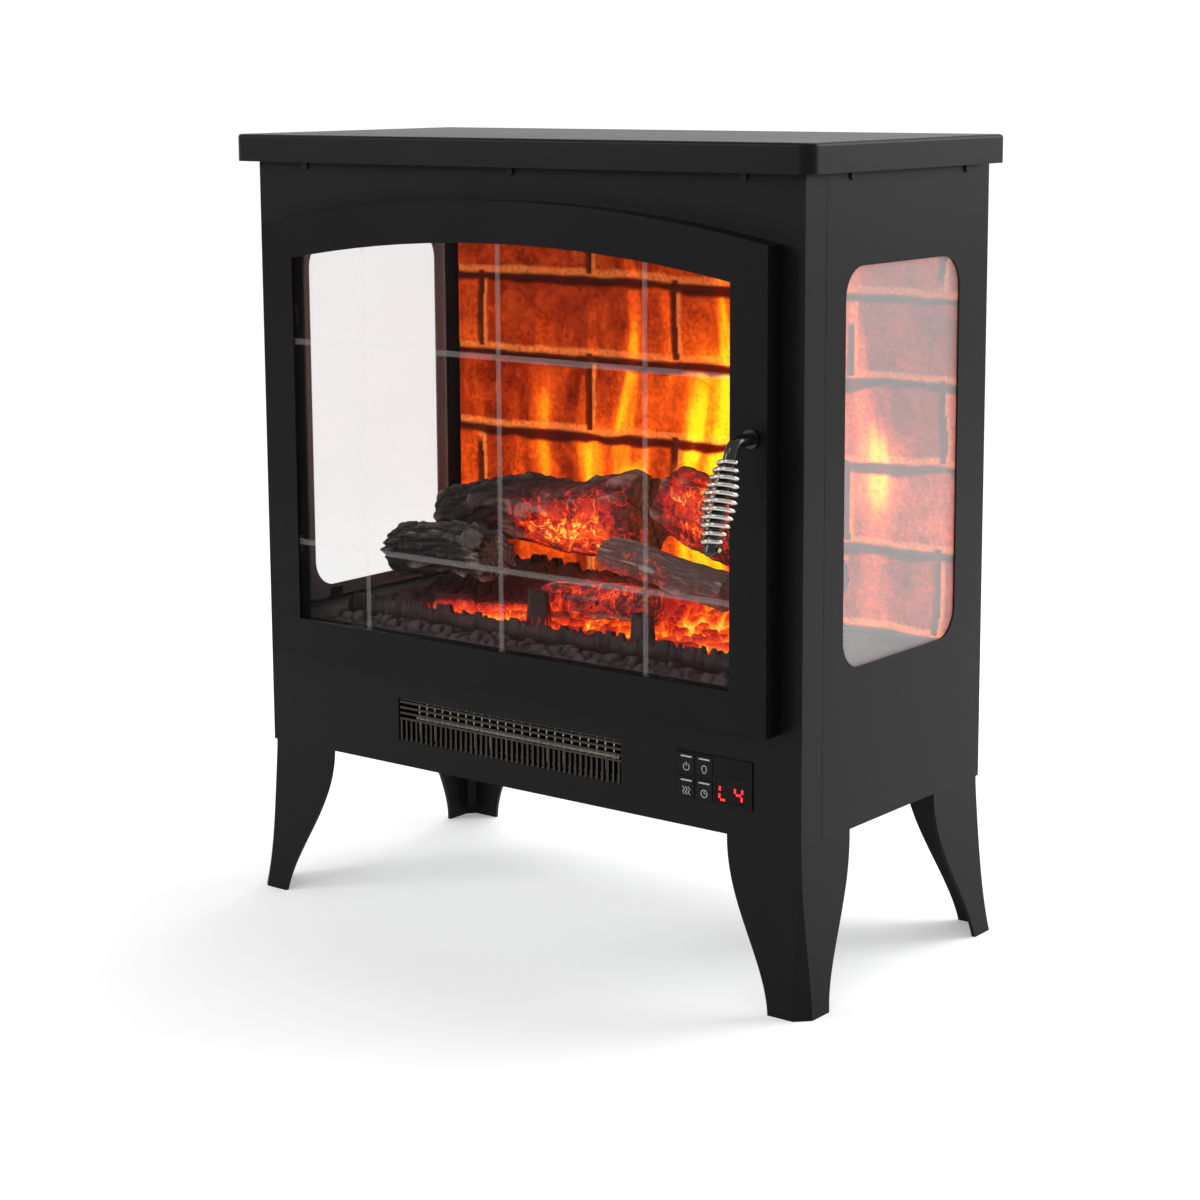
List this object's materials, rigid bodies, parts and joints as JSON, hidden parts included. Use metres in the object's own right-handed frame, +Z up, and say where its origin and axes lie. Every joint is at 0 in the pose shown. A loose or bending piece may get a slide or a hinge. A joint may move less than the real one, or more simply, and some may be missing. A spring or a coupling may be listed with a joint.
{
  "type": "electric fireplace",
  "caption": "Free-standing electric stove fireplace: black steel cabinet on flared legs, arched glass door, lit log set with flame screen, fan heater and touch keys below.",
  "frame": {"origin": "centre of the bounding box on the floor plane", "axes": "+X to the viewer's right, +Y to the back, +Z up; the door faces -Y"},
  "size_m": [0.541, 0.3262, 0.61],
  "materials": {
    "powder_coat": "satin black powder coat with fine texture",
    "door_coat": "satin black powder coat",
    "black_screws": "blackened",
    "black_hardware": "satin black",
    "zinc_sheet": "dull zinc plate",
    "deck_steel": "matt black",
    "bright_steel": "bright",
    "side_glass": "clear flat glass",
    "door_glass": "clear glass with bevelled lines",
    "handle_black": "gloss black",
    "coil_nickel": "nickel plated wire",
    "magnet": "sintered",
    "brick_print": "matt brick print, lit by moving flames",
    "ember_resin": "moulded resin embers, lit from below",
    "coal_resin": "crushed resin coals",
    "bark_resin": "charred bark paint",
    "glow_resin": "translucent resin log, lit from inside",
    "grey_resin": "ash-grey split wood paint",
    "rotor_foil": "mirror foil vanes",
    "motor_steel": "plain steel",
    "moulded_grey": "moulded",
    "lamp_board": "white board with lamps",
    "circuit_board": "solder mask",
    "wheel_black": "moulded",
    "heater_alloy": "finned",
    "grille_steel": "heat-stained steel",
    "gland_rubber": "moulded",
    "key_black": "satin with lit marks",
    "bezel_black": "gloss black",
    "display_lens": "smoked lens with red digits"
  },
  "bodies": {
    "cabinet": {"top_plate": "powder_coat", "front_panel": "powder_coat", "left_side_panel": "powder_coat", "right_side_panel": "powder_coat", "back_cover": "powder_coat", "leg_front_left": "powder_coat", "leg_front_right": "powder_coat", "leg_rear_left": "powder_coat", "leg_rear_right": "powder_coat", "lid_screws": "black_screws", "back_cover_screws": "black_screws", "leg_screws": "black_screws", "hinge_screws": "black_screws", "hinge_frame_leaves": "black_hardware", "side_glass_clips": "black_hardware", "base_plate": "zinc_sheet", "rotor_motor_bracket": "zinc_sheet", "blower_housing": "zinc_sheet", "firebox_ceiling": "zinc_sheet", "firebox_floor": "deck_steel", "hinge_pins": "bright_steel", "left_side_glass": "side_glass", "right_side_glass": "side_glass", "magnet_catch": "magnet", "brick_screen": "brick_print", "ember_bed": "ember_resin", "coal_strip": "coal_resin", "log_left": "bark_resin", "log_stub": "bark_resin", "log_back": "glow_resin", "log_right": "glow_resin", "log_front": "glow_resin", "log_split": "grey_resin", "rotor_motor": "motor_steel", "blower_motor": "motor_steel", "rotor_bearing": "moulded_grey", "thermal_cutout": "moulded_grey", "flame_led_board": "lamp_board", "ember_led_board": "lamp_board", "control_board": "circuit_board", "power_board": "circuit_board", "heater_element": "heater_alloy", "outlet_grille": "grille_steel", "cord_gland": "gland_rubber", "control_bezel": "bezel_black", "display_module": "display_lens"},
    "door": {"door_frame": "door_coat", "door_glass": "door_glass", "door_glass_clips": "black_hardware", "hinge_door_leaves": "black_hardware", "door_strike_plate": "bright_steel", "handle_rod": "handle_black", "handle_coil": "coil_nickel", "handle_nut": "bright_steel"},
    "flame_rotor": {"flame_rotor": "rotor_foil"},
    "blower_wheel": {"blower_wheel": "wheel_black"},
    "power_button": {"power_button": "key_black"},
    "flame_button": {"flame_button": "key_black"},
    "heat_button": {"heat_button": "key_black"},
    "timer_button": {"timer_button": "key_black"}
  },
  "joints": [
    {"name": "door_hinge", "type": "hinge", "parent": "cabinet", "child": "door", "pos_m": [-0.2417, -0.09635, 0.375], "axis": [0, 0, -1], "range_deg": [0, 110]},
    {"name": "flame_rotor_spin", "type": "hinge", "parent": "cabinet", "child": "flame_rotor", "pos_m": [0, 0.10965, 0.206], "axis": [1, 0, 0], "continuous": true},
    {"name": "blower_wheel_spin", "type": "hinge", "parent": "cabinet", "child": "blower_wheel", "pos_m": [-0.0105, -0.02835, 0.164], "axis": [1, 0, 0], "continuous": true},
    {"name": "power_press", "type": "slide", "parent": "cabinet", "child": "power_button", "axis": [0, 1, 0], "range_m": [0, 0.001], "stiffness_N_per_m": 700, "springref_m": -0.0006},
    {"name": "flame_press", "type": "slide", "parent": "cabinet", "child": "flame_button", "axis": [0, 1, 0], "range_m": [0, 0.001], "stiffness_N_per_m": 700, "springref_m": -0.0006},
    {"name": "heat_press", "type": "slide", "parent": "cabinet", "child": "heat_button", "axis": [0, 1, 0], "range_m": [0, 0.001], "stiffness_N_per_m": 700, "springref_m": -0.0006},
    {"name": "timer_press", "type": "slide", "parent": "cabinet", "child": "timer_button", "axis": [0, 1, 0], "range_m": [0, 0.001], "stiffness_N_per_m": 700, "springref_m": -0.0006}
  ]
}
